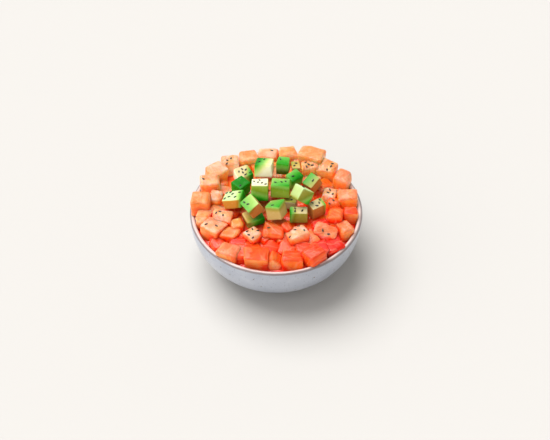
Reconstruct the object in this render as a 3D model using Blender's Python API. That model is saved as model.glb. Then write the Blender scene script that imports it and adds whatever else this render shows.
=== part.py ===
"""A glazed bowl heaped with diced raw salmon, with diced avocado and black sesame on top.

The bowl stands on the floor plane, and the origin is the middle of its foot. -Y is the front.
Sizes below are in millimetres, and every mesh is made in metres.
"""
import itertools
import math
import random
from collections import namedtuple

import bmesh
import bpy
from mathutils import Euler, Matrix, Vector

MM = 0.001

# Bowl
RIM_RADIUS = 80.0
BOWL_HEIGHT = 58.0
WALL = 4.5
FOOT_RADIUS = 39.0
FOOT_WIDTH = 5.0
FOOT_HEIGHT = 4.0
FOOT_RECESS = 3.0
FOOT_BEVEL = 1.0
BASE_RADIUS = 35.0
FLOOR_THICKNESS = 6.0
ROUNDNESS = 2.16        # exponent of the wall's curve: 2 would be an ellipse
CURVE_STEPS = 8
RIM_STEPS = 4
TURN_STEPS = 48
SHARP_ANGLE = 40.0      # steeper edges are shaded sharp
MERGE = 0.002           # points closer than this are one

# Heap of salmon
FIT_GAP = 0.3           # left between two pieces that touch
CORE_EDGE = 50.0        # height of the core at the wall
CORE_RISE = 7.5         # how much higher its middle is
CORE_FULLNESS = 5.0     # how flat its top is
CORE_RINGS = 5
CORE_GAP = 0.6          # from the core to the wall
CUTTER_MARGIN = 10.0
SALMON_BEVEL = 2.2
SALMON_RAGGED = (-0.3, 2.4)     # least and most that a corner is drawn in
LOWER_STEP = 1.0
LOWEST_TOP = 60.5       # a die that would lie lower is left out

# Filling dice, in the gaps and under the avocado
FILL_PITCH = 5.0        # of the grid of places that are tried
FILL_REACH = 65.0
FILLINGS = (((15.0, 18.0), 11.0), ((10.0, 12.0), 9.0))  # sizes and spacing, the large ones first
FILL_MIDDLE = 33.0      # inside this radius they may stand high, outside it low
FILL_TOP_MIDDLE = 70.0
FILL_TOP_EDGE = 63.0
FILL_YAW = 45.0         # most that they are turned
FILL_TILT = 8.0

# Avocado
AVOCADO_BEVEL = 0.8
AVOCADO_RAGGED = (0.0, 1.0)
CLEARANCE = 0.4         # between avocado dice, and to the dice under them

# Sesame
SEED_SIZE = (3.2, 2.1, 1.3)
SEED_SEGMENTS = 5
SEED_RINGS = 4
SEED_SINK = 0.3         # part of its thickness that lies below the surface
SEED_ROOM = 2.4         # from a seed to the next piece
SEED_SPACING = 3.6      # between the middles of two seeds
SEED_BORDER = 2.6       # from a seed to the edge of its die
SEED_TRIES = 30

# Colours of the materials, and their roughness
GLAZE = ((0.60, 0.62, 0.66), 0.28)
RAW_SALMON = ((0.95, 0.30, 0.13), 0.35)
AVOCADO_FLESH = ((0.52, 0.62, 0.16), 0.45)

Die = namedtuple("Die", "name centre turn size seeds")


def die(name, place, turn, size, seeds=0):
    """A die at a place, turned by yaw, by lean (its front tips up) and by roll."""
    yaw, lean, roll = (math.radians(angle) for angle in turn)
    matrix = Euler((-lean, roll, yaw), "XYZ").to_matrix()
    return Die(name, Vector(place), matrix, Vector(size), seeds)


# Placed as the photograph shows them: place, (yaw, lean, roll), size, number of seeds on top
AVOCADO = (
    die("avocado_01", (-11, 36, 76.5), (-8, 18, -5), (17.5, 16, 14), 2),
    die("avocado_02", (6.5, 37.5, 77.5), (-12, 5, 0), (12.5, 12, 14), 1),
    die("avocado_03", (-31, 36.5, 65), (25, 0, 0), (16, 16, 13), 6),
    die("avocado_04", (-15, 5.5, 77.5), (0, 22, 0), (17, 17, 17), 5),
    die("avocado_05", (-33, 16, 71), (45, 0, 0), (14, 14, 14), 1),
    die("avocado_06", (-38.5, -2, 72.5), (-15, 5, -22), (19.5, 15.5, 11), 7),
    die("avocado_07", (4, 8, 77.5), (-2, 17, 0), (18, 15.5, 14), 3),
    die("avocado_08", (16.5, 25.5, 71.5), (-50, 0, 10), (12, 14.5, 14), 1),
    die("avocado_09", (34, 23, 69), (-45, -25, 0), (13, 15, 13), 1),
    die("avocado_10", (23.5, -4, 81.5), (-60, 42, -22), (16.5, 14.5, 14), 1),
    die("avocado_11", (-21.5, -17, 79.5), (-60, -30, 0), (16, 14, 14), 2),
    die("avocado_12", (0, -18.5, 76), (-15, 20, -18), (15, 16.5, 15), 1),
    die("avocado_13", (20.5, -16, 66.5), (0, 5, 0), (17.5, 10.5, 13), 3),
    die("avocado_14", (37, -7.5, 66), (32, 0, 0), (15, 11, 15), 4),
    die("avocado_15", (-21, -18, 64.5), (25, 0, 0), (18, 16, 9.5)),
    die("avocado_16", (13.5, 0.5, 65.5), (-10, 10, 0), (12, 11.5, 10), 1),
    die("avocado_17", (18.5, 47.5, 64.5), (5, 5, 0), (9, 12, 10), 3),
)

SALMON = (
    die("left_rim", (-69, 0, 64.5), (-5, 5, 0), (19, 18, 18)),
    die("left_back_a", (-62, 26, 62.5), (10, 0, 0), (20, 18, 19), 1),
    die("left_back_b", (-56, 42, 59.5), (35, 0, 0), (18, 18, 20)),
    die("left_back_c", (-44, 54, 60), (5, 0, 0), (18, 16, 20), 3),
    die("back_a", (-26, 63.5, 58.5), (12, 0, 0), (19, 17, 20)),
    die("back_b", (-8, 67, 58), (-5, 0, 0), (19, 17, 19), 1),
    die("back_c", (11, 68, 59), (8, 0, 0), (19, 17, 19)),
    die("back_tall", (34.5, 61, 64), (-20, 0, 0), (25, 18, 20)),
    die("back_inner", (33, 48, 62), (5, 0, 0), (19, 15, 17), 4),
    die("right_back_a", (49, 47, 59.5), (-20, 0, 0), (20, 18, 21), 3),
    die("right_back_b", (62, 32.5, 59.5), (-25, 0, 0), (17, 18, 22)),
    die("right_inner_a", (49, 16, 57), (-15, 12, 8), (16, 15, 15), 5),
    die("right_rim_a", (66, 11, 59), (0, 0, 0), (19, 17, 17)),
    die("right_inner_b", (53, 5, 57), (0, 0, 0), (13, 13, 15), 2),
    die("right_rim_b", (68, -8, 58), (0, 0, 0), (14, 14, 16)),
    die("right_inner_c", (54, -14, 59), (-10, 10, 0), (16, 18, 18)),
    die("right_inner_d", (40.5, -24, 57.5), (20, 0, 0), (16, 13, 15)),
    die("right_front_fold", (44, -32, 60), (-15, 0, 15), (21, 14, 13), 2),
    die("right_rim_c", (62, -27, 57), (25, 0, 0), (15, 17, 16)),
    die("right_front_red", (51, -46.5, 55), (35, 0, 0), (22, 15, 14)),
    die("front_inner_a", (18.5, -38.5, 60.5), (20, 15, 0), (22, 19, 17), 4),
    die("front_rim_a", (33, -60, 60), (40, 0, 0), (19, 19, 18)),
    die("front_rim_b", (14, -63.5, 57), (0, 0, 0), (19, 15, 16)),
    die("front_rim_c", (-2, -63, 56), (0, 0, 45), (15, 16, 15)),
    die("front_inner_b", (-2, -34, 60), (-10, 0, 0), (20, 16, 16), 1),
    die("front_rim_d", (-18, -61, 58), (-5, 0, 0), (23, 18, 18)),
    die("front_inner_c", (-21.5, -38.5, 60), (45, 0, 0), (15, 15, 17), 5),
    die("front_rim_e", (-42, -54.5, 57), (-25, 0, 0), (22, 16, 17)),
    die("left_inner_a", (-42, -35, 58), (-20, 0, 0), (18, 15, 16)),
    die("left_front_big", (-56, -28.5, 59.5), (-35, 0, 0), (20, 19, 20), 2),
    die("left_inner_b", (-49.5, -18, 60), (-10, 0, 0), (20, 16, 16), 3),
    die("left_inner_c", (-56, 9, 61), (-20, 0, 0), (15, 15, 15)),
    die("left_inner_d", (-35.5, -25, 59.5), (25, 0, 0), (13, 14, 15)),
    die("left_front_low", (-52.5, -43.5, 54.5), (20, 0, 0), (15, 15, 15)),
    die("left_rim_low", (-67, -14, 58), (-15, 0, 0), (14, 17, 17)),
)


def clear_scene():
    for item in list(bpy.data.objects):
        bpy.data.objects.remove(item, do_unlink=True)


def finish(name, colour, roughness):
    """A Principled material with one colour and roughness."""
    material = bpy.data.materials.new(name)
    material.use_nodes = True
    shader = material.node_tree.nodes["Principled BSDF"]
    shader.inputs["Base Color"].default_value = (*colour, 1.0)
    shader.inputs["Roughness"].default_value = roughness
    shader.inputs["Metallic"].default_value = 0.0
    return material


def add_object(name, bm, collection=None):
    """Links a new object made from a bmesh."""
    mesh = bpy.data.meshes.new(name)
    bm.to_mesh(mesh)
    bm.free()
    item = bpy.data.objects.new(name, mesh)
    (collection or bpy.context.scene.collection).objects.link(item)
    return item


def turned(name, outline, steps):
    """A solid turned round Z from points (radius, height) that start and end on the axis."""
    bm = bmesh.new()
    points = [bm.verts.new((radius * MM, 0.0, height * MM)) for radius, height in outline]
    lines = [bm.edges.new(pair) for pair in zip(points, points[1:])]
    bmesh.ops.spin(
        bm, geom=points + lines, cent=(0, 0, 0), axis=(0, 0, 1),
        angle=math.tau, steps=steps, use_merge=True)
    bmesh.ops.remove_doubles(bm, verts=bm.verts, dist=MERGE * MM)
    bmesh.ops.recalc_face_normals(bm, faces=bm.faces)
    return add_object(name, bm)


def wall_curve(base_radius, base_height, top_radius, top_height):
    """The bowl's side from its base up to its top, a superellipse."""
    points = []
    for step in range(CURVE_STEPS + 1):
        angle = 0.5 * math.pi * step / CURVE_STEPS
        across = math.sin(angle) ** (2.0 / ROUNDNESS)
        up = 1.0 - math.cos(angle) ** (2.0 / ROUNDNESS)
        radius = base_radius + (top_radius - base_radius) * across
        height = base_height + (top_height - base_height) * up
        points.append((radius, height))
    return points


def inner_curve(gap):
    """The hollow's surface from the middle of its floor to the rim, drawn in by a gap."""
    floor = FOOT_RECESS + FLOOR_THICKNESS + gap
    side = wall_curve(BASE_RADIUS - WALL, floor, RIM_RADIUS - WALL - gap, BOWL_HEIGHT - WALL / 2)
    return [(0.0, floor)] + side


def rim_arc(grow=0.0):
    """The rounded lip, from the outer side over to the inner one."""
    centre_radius = RIM_RADIUS - WALL / 2
    centre_height = BOWL_HEIGHT - WALL / 2
    points = []
    for step in range(RIM_STEPS + 1):
        angle = math.pi * step / RIM_STEPS
        reach = WALL / 2 + grow
        points.append((centre_radius + reach * math.cos(angle), centre_height + reach * math.sin(angle)))
    return points


def make_bowl():
    foot = [
        (0.0, FOOT_RECESS),
        (FOOT_RADIUS - FOOT_WIDTH, FOOT_RECESS),
        (FOOT_RADIUS - FOOT_WIDTH + FOOT_BEVEL, 0.0),
        (FOOT_RADIUS - FOOT_BEVEL, 0.0),
        (FOOT_RADIUS, FOOT_BEVEL),
    ]
    side = wall_curve(BASE_RADIUS, FOOT_HEIGHT, RIM_RADIUS, BOWL_HEIGHT - WALL / 2)
    outside = [point for point in side if point[0] > FOOT_RADIUS]
    inside = inner_curve(0.0)[-2::-1]
    bowl = turned("bowl", foot + outside[:-1] + rim_arc() + inside, TURN_STEPS)
    bowl.data.materials.append(finish("glaze", *GLAZE))
    bowl.data.shade_smooth()
    bowl.data.set_sharp_from_angle(angle=math.radians(SHARP_ANGLE))


def bowl_cutter():
    """The bowl's wall and rim made fatter by the fit gap, to trim what leans on them."""
    outer = RIM_RADIUS + CUTTER_MARGIN
    hollow = inner_curve(FIT_GAP)
    outline = [(0.0, -CUTTER_MARGIN), (outer, -CUTTER_MARGIN), (outer, BOWL_HEIGHT - WALL / 2)]
    outline += rim_arc(FIT_GAP) + hollow[-2::-1]
    cutter = turned("bowl_cutter", outline, TURN_STEPS)
    cutter.hide_render = True
    cutter.display_type = "WIRE"
    return cutter


def separation(one, other):
    """Gap between two boxes along the axis that parts them best; below 0 they cross."""
    axes_one = [one.turn.col[index] for index in range(3)]
    axes_other = [other.turn.col[index] for index in range(3)]
    axes = axes_one + axes_other + [a.cross(b) for a in axes_one for b in axes_other]
    best = -math.inf
    for axis in axes:
        if axis.length < 0.001:
            continue
        axis = axis.normalized()
        reach = sum(abs(axis.dot(a)) * s / 2 for a, s in zip(axes_one, one.size))
        reach += sum(abs(axis.dot(a)) * s / 2 for a, s in zip(axes_other, other.size))
        best = max(best, abs(axis.dot(other.centre - one.centre)) - reach)
    return best


def distance(point, box):
    """How far a point lies outside a box."""
    local = box.turn.transposed() @ (point - box.centre)
    beyond = Vector(max(0.0, abs(c) - s / 2) for c, s in zip(local, box.size))
    return beyond.length


def settled(item):
    """The die lowered until it is clear of the avocado, or nothing if it would be buried."""
    centre = item.centre.copy()
    while centre.z + item.size.z / 2 > LOWEST_TOP:
        lowered = item._replace(centre=centre.copy())
        if all(separation(lowered, topping) > CLEARANCE for topping in AVOCADO):
            return lowered
        centre.z -= LOWER_STEP
    return None


def filling_dice(placed, draw):
    """Dice for the gaps that the placed ones leave, each as high as it can lie."""
    dice = []
    steps = int(FILL_REACH / FILL_PITCH)
    grid = range(-steps, steps + 1)
    for (sizes, spacing), row, column in itertools.product(FILLINGS, grid, grid):
        spot = Vector((column, row)) * FILL_PITCH
        near = any((item.centre.xy - spot).length < spacing for item in placed + dice)
        if near or spot.length > FILL_REACH:
            continue
        size = [draw.uniform(*sizes) for _ in range(3)]
        turn = [draw.uniform(-most, most) for most in (FILL_YAW, FILL_TILT, FILL_TILT)]
        top = FILL_TOP_MIDDLE if spot.length < FILL_MIDDLE else FILL_TOP_EDGE
        name = f"filling_{len(dice):02d}"
        found = settled(die(name, (*spot, top - size[2] / 2), turn, size))
        if found:
            dice.append(found)
    return dice


def ragged_corners(item, ragged, draw):
    """The die's corners in its own axes, each drawn in a little, keyed by their sides."""
    corners = {}
    for sides in itertools.product((-1, 1), repeat=3):
        corners[sides] = Vector(
            side * (length / 2 - draw.uniform(*ragged)) for side, length in zip(sides, item.size))
    return corners


def ragged_box(item, corners, bevel):
    """A closed box on the die's corners, with bevelled edges, in its place in metres."""
    bm = bmesh.new()
    bmesh.ops.create_cube(bm, size=2.0)
    for vert in bm.verts:
        vert.co = corners[tuple(round(c) for c in vert.co)]
    bmesh.ops.bevel(bm, geom=bm.edges[:], offset=bevel, segments=1, affect="EDGES", profile=0.5)
    bm.transform(Matrix.Scale(MM, 4) @ Matrix.Translation(item.centre) @ item.turn.to_4x4())
    bmesh.ops.triangulate(bm, faces=bm.faces)
    return bm


def top_height(item, corners, x, y):
    """Height of the die's uneven top over a spot, in its own axes."""
    across = 0.5 + x / item.size.x
    along = 0.5 + y / item.size.y
    front = corners[-1, -1, 1].z * (1 - across) + corners[1, -1, 1].z * across
    back = corners[-1, 1, 1].z * (1 - across) + corners[1, 1, 1].z * across
    return front * (1 - along) + back * along


def seed_places(item, corners, others, draw):
    """Spots on the die's top that keep clear of each other, of its edges and of other dice."""
    spots = []
    for _ in range(SEED_TRIES):
        if len(spots) == item.seeds:
            break
        x = draw.uniform(-1, 1) * (item.size.x / 2 - SEED_BORDER)
        y = draw.uniform(-1, 1) * (item.size.y / 2 - SEED_BORDER)
        heading = draw.uniform(0, 180)
        top = Vector((x, y, top_height(item, corners, x, y)))
        world = item.centre + item.turn @ top
        blocked = any(distance(world, other) < SEED_ROOM for other in others if other is not item)
        crowded = any((top - spot[0]).length < SEED_SPACING for spot in spots)
        if not blocked and not crowded:
            spots.append((top, heading))
    return spots


def add_seeds(item, corners, others, draw, collection):
    """One squashed ball for each seed, part sunk in the die's top."""
    for top, heading in seed_places(item, corners, others, draw):
        bm = bmesh.new()
        bmesh.ops.create_uvsphere(bm, u_segments=SEED_SEGMENTS, v_segments=SEED_RINGS, radius=0.5)
        lift = Vector((0, 0, SEED_SIZE[2] * (0.5 - SEED_SINK)))
        size = Matrix.Diagonal((*SEED_SIZE, 1.0))
        spin = Matrix.Rotation(math.radians(heading), 4, "Z")
        place = Matrix.Translation(item.centre) @ item.turn.to_4x4() @ Matrix.Translation(top + lift)
        bm.transform(Matrix.Scale(MM, 4) @ place @ spin @ size)
        add_object("seed", bm, collection)


def boolean(item, operation, operand):
    """Applies a Boolean with an object or with all objects of a collection."""
    modifier = item.modifiers.new(operation.lower(), "BOOLEAN")
    modifier.operation = operation
    if isinstance(operand, bpy.types.Collection):
        modifier.operand_type = "COLLECTION"
        modifier.collection = operand
    else:
        modifier.object = operand
    bpy.context.view_layer.objects.active = item
    bpy.ops.object.modifier_apply(modifier=modifier.name)


def remove_collection(collection):
    for item in list(collection.objects):
        bpy.data.objects.remove(item, do_unlink=True)
    bpy.data.collections.remove(collection)


def new_collection(name):
    collection = bpy.data.collections.new(name)
    bpy.context.scene.collection.children.link(collection)
    return collection


def spread(verts):
    """How far a shell reaches along X, Y and Z together."""
    return sum(max(v.co[axis] for v in verts) - min(v.co[axis] for v in verts) for axis in range(3))


def keep_largest_shell(item):
    """Drops the loose scraps and sealed hollows that fusing can leave."""
    bm = bmesh.new()
    bm.from_mesh(item.data)
    bmesh.ops.remove_doubles(bm, verts=bm.verts, dist=MERGE * MM)
    left = set(bm.verts)
    shells = []
    while left:
        shell = set()
        waiting = [left.pop()]
        while waiting:
            vert = waiting.pop()
            shell.add(vert)
            for edge in vert.link_edges:
                other = edge.other_vert(vert)
                if other in left:
                    left.remove(other)
                    waiting.append(other)
        shells.append(shell)
    shells.sort(key=spread)
    for shell in shells[:-1]:
        bmesh.ops.delete(bm, geom=list(shell), context="VERTS")
    bm.to_mesh(item.data)
    bm.free()


def make_avocado(item):
    """One avocado die with its seeds fused on."""
    draw = random.Random(item.name)
    corners = ragged_corners(item, AVOCADO_RAGGED, draw)
    solid = add_object(item.name, ragged_box(item, corners, AVOCADO_BEVEL))
    solid.data.materials.append(finish(item.name + "_flesh", *AVOCADO_FLESH))
    seeds = new_collection(item.name + "_seeds")
    add_seeds(item, corners, AVOCADO, draw, seeds)
    if seeds.objects:
        boolean(solid, "UNION", seeds)
        keep_largest_shell(solid)
    remove_collection(seeds)


def make_core():
    """The middle of the heap: a turned solid that fills the bowl and rises to a low dome."""
    side = [point for point in inner_curve(CORE_GAP) if point[1] < CORE_EDGE]
    edge_radius = side[-1][0]
    dome = []
    for ring in range(CORE_RINGS + 1):
        share = ring / CORE_RINGS
        height = CORE_EDGE + CORE_RISE * (1.0 - (1.0 - share) ** CORE_FULLNESS)
        dome.append((edge_radius * (1.0 - share), height))
    core = turned("salmon", side + dome, TURN_STEPS)
    core.data.materials.append(finish("raw_salmon", *RAW_SALMON))
    return core


def make_salmon(dice):
    """The heap: the core with the dice and their seeds fused on, trimmed to the bowl."""
    heap = make_core()
    pieces = new_collection("salmon_pieces")
    for item in dice:
        draw = random.Random(item.name)
        corners = ragged_corners(item, SALMON_RAGGED, draw)
        add_object(item.name, ragged_box(item, corners, SALMON_BEVEL), pieces)
        add_seeds(item, corners, AVOCADO + tuple(dice), draw, pieces)
    boolean(heap, "UNION", pieces)
    remove_collection(pieces)
    cutter = bowl_cutter()
    boolean(heap, "DIFFERENCE", cutter)
    bpy.data.objects.remove(cutter, do_unlink=True)
    keep_largest_shell(heap)


def main():
    clear_scene()
    make_bowl()
    placed = [settled(item) for item in SALMON]
    dice = [item for item in placed if item]
    dice += filling_dice(dice, random.Random("filling"))
    make_salmon(dice)
    for item in AVOCADO:
        make_avocado(item)


main()
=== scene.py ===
"""Looks of the salmon bowl: glazed bowl, raw salmon dice, avocado dice and black sesame.

The dice stand where the model's own rules put them, so the same tables, rules and random draws
are repeated here. Sizes are in millimetres, and every mesh is made in metres.
"""
import itertools
import math
import random
from collections import namedtuple

import bpy
import numpy as np
from mathutils import Euler, Matrix, Vector, noise
from mathutils.bvhtree import BVHTree


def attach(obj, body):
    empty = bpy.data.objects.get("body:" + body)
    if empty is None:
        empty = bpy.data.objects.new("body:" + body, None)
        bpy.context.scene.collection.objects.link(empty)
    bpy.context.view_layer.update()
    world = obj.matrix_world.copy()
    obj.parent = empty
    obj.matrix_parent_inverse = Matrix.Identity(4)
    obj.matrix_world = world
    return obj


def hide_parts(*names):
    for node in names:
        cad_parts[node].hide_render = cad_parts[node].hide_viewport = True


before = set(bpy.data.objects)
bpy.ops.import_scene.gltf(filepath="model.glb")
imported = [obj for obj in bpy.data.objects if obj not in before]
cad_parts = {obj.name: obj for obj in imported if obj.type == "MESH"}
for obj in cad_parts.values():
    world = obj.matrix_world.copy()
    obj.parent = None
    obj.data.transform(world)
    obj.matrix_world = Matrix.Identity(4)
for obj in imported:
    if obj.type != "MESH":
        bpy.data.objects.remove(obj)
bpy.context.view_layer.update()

MM = 0.001
TINY = 0.001
NOISE_SEED = 5          # keeps the uneven shapes the same on every run
NOISE_SPREAD = 50.0     # how far apart in the noise two pieces may be shaped
GRAIN_SPREAD = 100.0

# Camera
CAMERA_TARGET = (-1.1, 0.0, 43.0)
CAMERA_DISTANCE = 1000.0
CAMERA_ELEVATION = 46.7
CAMERA_LENS = 69.87
CAMERA_NEAR = 0.01      # metres

# Studio
BACKDROP = (247, 244, 239)
FLOOR_SIZE = 8.0
FLOOR_WHITENESS = 0.505
FLOOR_TINT = (250, 247, 243)
DOME_SHARE = 0.50       # brightness overhead, as a share of that at the horizon
DOME_HEIGHTS = (0.30, 0.66)     # between which it fades to that
KEY_FROM = (-0.36, 0.34, 1.00)
KEY_STRENGTH = 4.2
KEY_SOFTNESS = 52.0
FILL_FROM = (-0.95, -0.55, 0.60)
FILL_STRENGTH = 1.3
FILL_SOFTNESS = 90.0

# Bowl
RIM_RADIUS = 80.0
BOWL_HEIGHT = 58.0
WALL = 4.5
FOOT_RADIUS = 39.0
FOOT_WIDTH = 5.0
FOOT_HEIGHT = 4.0
FOOT_RECESS = 3.0
FOOT_BEVEL = 1.0
BASE_RADIUS = 35.0
FLOOR_THICKNESS = 6.0
ROUNDNESS = 2.16
CURVE_STEPS = 30
RIM_STEPS = 12
BEVEL_STEPS = 3
TURN_STEPS = 128
SHARP_ANGLE = 40.0
MIDDLE_RING = 4.0       # radius of the last ring before the middle

# Heap of salmon
CORE_EDGE = 50.0        # height at which the core leaves the bowl's side
CORE_RISE = 7.5
CORE_FULLNESS = 5.0
CORE_RINGS = 48
CORE_GAP = 0.6
CORE_LUMP_LENGTH = 7.0
CORE_LUMP_HEIGHT = 0.6
CORE_PITCH = 11.0       # from one of the pieces pressed together in the core to the next
CORE_SHIFT = 0.3        # how far a piece may lie off its place, as a share of the pitch
CORE_SQUARE = 4         # how square the pieces are, where 2 is round
CORE_BULGE = 1.4        # how far their middles rise above their seams
CORE_SEAM = 1.1         # how soon the painted shade of a seam's red fades
CORE_LIGHT = 1.25       # how brightly the studio lights the core
CORE_RIM = (52.0, 68.0)     # radii between which painted shade deepens it towards the rim
CORE_RIM_SHADE = 0.8
CORE_GRAIN = 0.1
WALL_GAP = 0.3
SALMON_RAGGED = (-0.3, 2.4)     # how far in the corners are drawn
SALMON_CUTS = 6
SALMON_CROWD = 0.5
SALMON_EDGE = (1.8, 3.8)
SALMON_SWELL = 0.5      # how far the soft sides bulge, so that the dice press together
SALMON_WOBBLE = ((12.0, 1.3), (5.5, 0.3))   # lengths and heights of the waves in their sides
LOWER_STEP = 1.0
LOWEST_TOP = 60.5

# Filling dice, in the gaps and under the avocado
FILL_PITCH = 5.0
FILL_REACH = 65.0
FILLINGS = (((15.0, 18.0), 11.0), ((10.0, 12.0), 9.0))
FILL_MIDDLE = 33.0
FILL_TOP_MIDDLE = 70.0
FILL_TOP_EDGE = 63.0
FILL_YAW = 45.0
FILL_TILT = 8.0

# Avocado
AVOCADO_RAGGED = (0.0, 1.0)
AVOCADO_CUTS = 7
AVOCADO_CROWD = 1.0
AVOCADO_EDGE = (0.9, 1.5)
AVOCADO_WOBBLE = ((11.0, 0.22), (4.0, 0.06))
CLEARANCE = 0.4

# Sesame
SEED_SIZE = (3.1, 1.7, 1.2)
SEED_SINK = 0.3
SEED_ROOM = 2.4
SEED_SPACING = 3.6
SEED_BORDER = 2.6
SEED_TRIES = 30
SEED_SEGMENTS = 10
SEED_RINGS = 6
SEED_TAPER = 0.45
SEED_BREADTH = 1.15
SEED_TIP = 0.5          # how thin the narrow end is, as a share
SEED_VARIES = 0.08
SEED_DROP = 5.0         # from how far above the top a seed is let down on it

Die = namedtuple("Die", "name centre turn size seeds")


def die(name, place, turn, size, seeds=0):
    """A die at a place, turned by yaw, by lean (its front tips up) and by roll."""
    yaw, lean, roll = (math.radians(angle) for angle in turn)
    matrix = Euler((-lean, roll, yaw), "XYZ").to_matrix()
    return Die(name, Vector(place), matrix, Vector(size), seeds)


# Placed as the photograph shows them: place, (yaw, lean, roll), size, number of seeds on top
AVOCADO = (
    die("avocado_01", (-11, 36, 76.5), (-8, 18, -5), (17.5, 16, 14), 2),
    die("avocado_02", (6.5, 37.5, 77.5), (-12, 5, 0), (12.5, 12, 14), 1),
    die("avocado_03", (-31, 36.5, 65), (25, 0, 0), (16, 16, 13), 6),
    die("avocado_04", (-15, 5.5, 77.5), (0, 22, 0), (17, 17, 17), 5),
    die("avocado_05", (-33, 16, 71), (45, 0, 0), (14, 14, 14), 1),
    die("avocado_06", (-38.5, -2, 72.5), (-15, 5, -22), (19.5, 15.5, 11), 7),
    die("avocado_07", (4, 8, 77.5), (-2, 17, 0), (18, 15.5, 14), 3),
    die("avocado_08", (16.5, 25.5, 71.5), (-50, 0, 10), (12, 14.5, 14), 1),
    die("avocado_09", (34, 23, 69), (-45, -25, 0), (13, 15, 13), 1),
    die("avocado_10", (23.5, -4, 81.5), (-60, 42, -22), (16.5, 14.5, 14), 1),
    die("avocado_11", (-21.5, -17, 79.5), (-60, -30, 0), (16, 14, 14), 2),
    die("avocado_12", (0, -18.5, 76), (-15, 20, -18), (15, 16.5, 15), 1),
    die("avocado_13", (20.5, -16, 66.5), (0, 5, 0), (17.5, 10.5, 13), 3),
    die("avocado_14", (37, -7.5, 66), (32, 0, 0), (15, 11, 15), 4),
    die("avocado_15", (-21, -18, 64.5), (25, 0, 0), (18, 16, 9.5)),
    die("avocado_16", (13.5, 0.5, 65.5), (-10, 10, 0), (12, 11.5, 10), 1),
    die("avocado_17", (18.5, 47.5, 64.5), (5, 5, 0), (9, 12, 10), 3),
)

SALMON = (
    die("left_rim", (-69, 0, 64.5), (-5, 5, 0), (19, 18, 18)),
    die("left_back_a", (-62, 26, 62.5), (10, 0, 0), (20, 18, 19), 1),
    die("left_back_b", (-56, 42, 59.5), (35, 0, 0), (18, 18, 20)),
    die("left_back_c", (-44, 54, 60), (5, 0, 0), (18, 16, 20), 3),
    die("back_a", (-26, 63.5, 58.5), (12, 0, 0), (19, 17, 20)),
    die("back_b", (-8, 67, 58), (-5, 0, 0), (19, 17, 19), 1),
    die("back_c", (11, 68, 59), (8, 0, 0), (19, 17, 19)),
    die("back_tall", (34.5, 61, 64), (-20, 0, 0), (25, 18, 20)),
    die("back_inner", (33, 48, 62), (5, 0, 0), (19, 15, 17), 4),
    die("right_back_a", (49, 47, 59.5), (-20, 0, 0), (20, 18, 21), 3),
    die("right_back_b", (62, 32.5, 59.5), (-25, 0, 0), (17, 18, 22)),
    die("right_inner_a", (49, 16, 57), (-15, 12, 8), (16, 15, 15), 5),
    die("right_rim_a", (66, 11, 59), (0, 0, 0), (19, 17, 17)),
    die("right_inner_b", (53, 5, 57), (0, 0, 0), (13, 13, 15), 2),
    die("right_rim_b", (68, -8, 58), (0, 0, 0), (14, 14, 16)),
    die("right_inner_c", (54, -14, 59), (-10, 10, 0), (16, 18, 18)),
    die("right_inner_d", (40.5, -24, 57.5), (20, 0, 0), (16, 13, 15)),
    die("right_front_fold", (44, -32, 60), (-15, 0, 15), (21, 14, 13), 2),
    die("right_rim_c", (62, -27, 57), (25, 0, 0), (15, 17, 16)),
    die("right_front_red", (51, -46.5, 55), (35, 0, 0), (22, 15, 14)),
    die("front_inner_a", (18.5, -38.5, 60.5), (20, 15, 0), (22, 19, 17), 4),
    die("front_rim_a", (33, -60, 60), (40, 0, 0), (19, 19, 18)),
    die("front_rim_b", (14, -63.5, 57), (0, 0, 0), (19, 15, 16)),
    die("front_rim_c", (-2, -63, 56), (0, 0, 45), (15, 16, 15)),
    die("front_inner_b", (-2, -34, 60), (-10, 0, 0), (20, 16, 16), 1),
    die("front_rim_d", (-18, -61, 58), (-5, 0, 0), (23, 18, 18)),
    die("front_inner_c", (-21.5, -38.5, 60), (45, 0, 0), (15, 15, 17), 5),
    die("front_rim_e", (-42, -54.5, 57), (-25, 0, 0), (22, 16, 17)),
    die("left_inner_a", (-42, -35, 58), (-20, 0, 0), (18, 15, 16)),
    die("left_front_big", (-56, -28.5, 59.5), (-35, 0, 0), (20, 19, 20), 2),
    die("left_inner_b", (-49.5, -18, 60), (-10, 0, 0), (20, 16, 16), 3),
    die("left_inner_c", (-56, 9, 61), (-20, 0, 0), (15, 15, 15)),
    die("left_inner_d", (-35.5, -25, 59.5), (25, 0, 0), (13, 14, 15)),
    die("left_front_low", (-52.5, -43.5, 54.5), (20, 0, 0), (15, 15, 15)),
    die("left_rim_low", (-67, -14, 58), (-15, 0, 0), (14, 17, 17)),
)

# Tones of raw salmon as the studio light shows them, from pale to deep
TONES = {
    "shell": (252, 212, 186),
    "cream": (249, 199, 164),
    "apricot": (250, 187, 130),
    "peach": (249, 171, 106),
    "blush": (249, 166, 124),
    "tangerine": (249, 150, 78),
    "gold": (252, 194, 116),
    "amber": (250, 156, 56),
    "orange": (250, 123, 28),
    "coral": (250, 101, 26),
    "vermilion": (248, 82, 16),
    "scarlet": (244, 56, 12),
    "ruby": (242, 40, 8),
}
# Painted shade: the deep red painted into crevices, low on the dice's sides, along the core's
# seams and towards the rim
SHADE_RED = (244, 34, 14)
TOP_LIGHT = 1.60        # how brightly the studio lights a top and a side
SIDE_LIGHT = 0.87
SIDE_BRIGHTEST = 0.98
TOP_LIGHT_FACING = (0.10, 0.80)       # how far up a face looks where the top's tone, painted paler as the light falls on tops, sets in and is full
OUTWARD_FACING = (-0.2, 0.5)    # the same for the tone of a side that looks outward
CREVICE_REACH = 34.0    # how near a die must be to make a crevice
CREVICE_FADE = 1.6
CREVICE_SHADE_RED = 0.75      # how red the painted shade in a crevice is, and how much less so on a top
CREVICE_SHADE_OFF_TOP = 0.45
LOW_SHADE_REACH = (1.0, 13.0)     # how far below its top a die's side begins to redden with painted shade and is done
LOW_SHADE_RED = 0.38
DEEPEST_SHADE = 0.9
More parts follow.
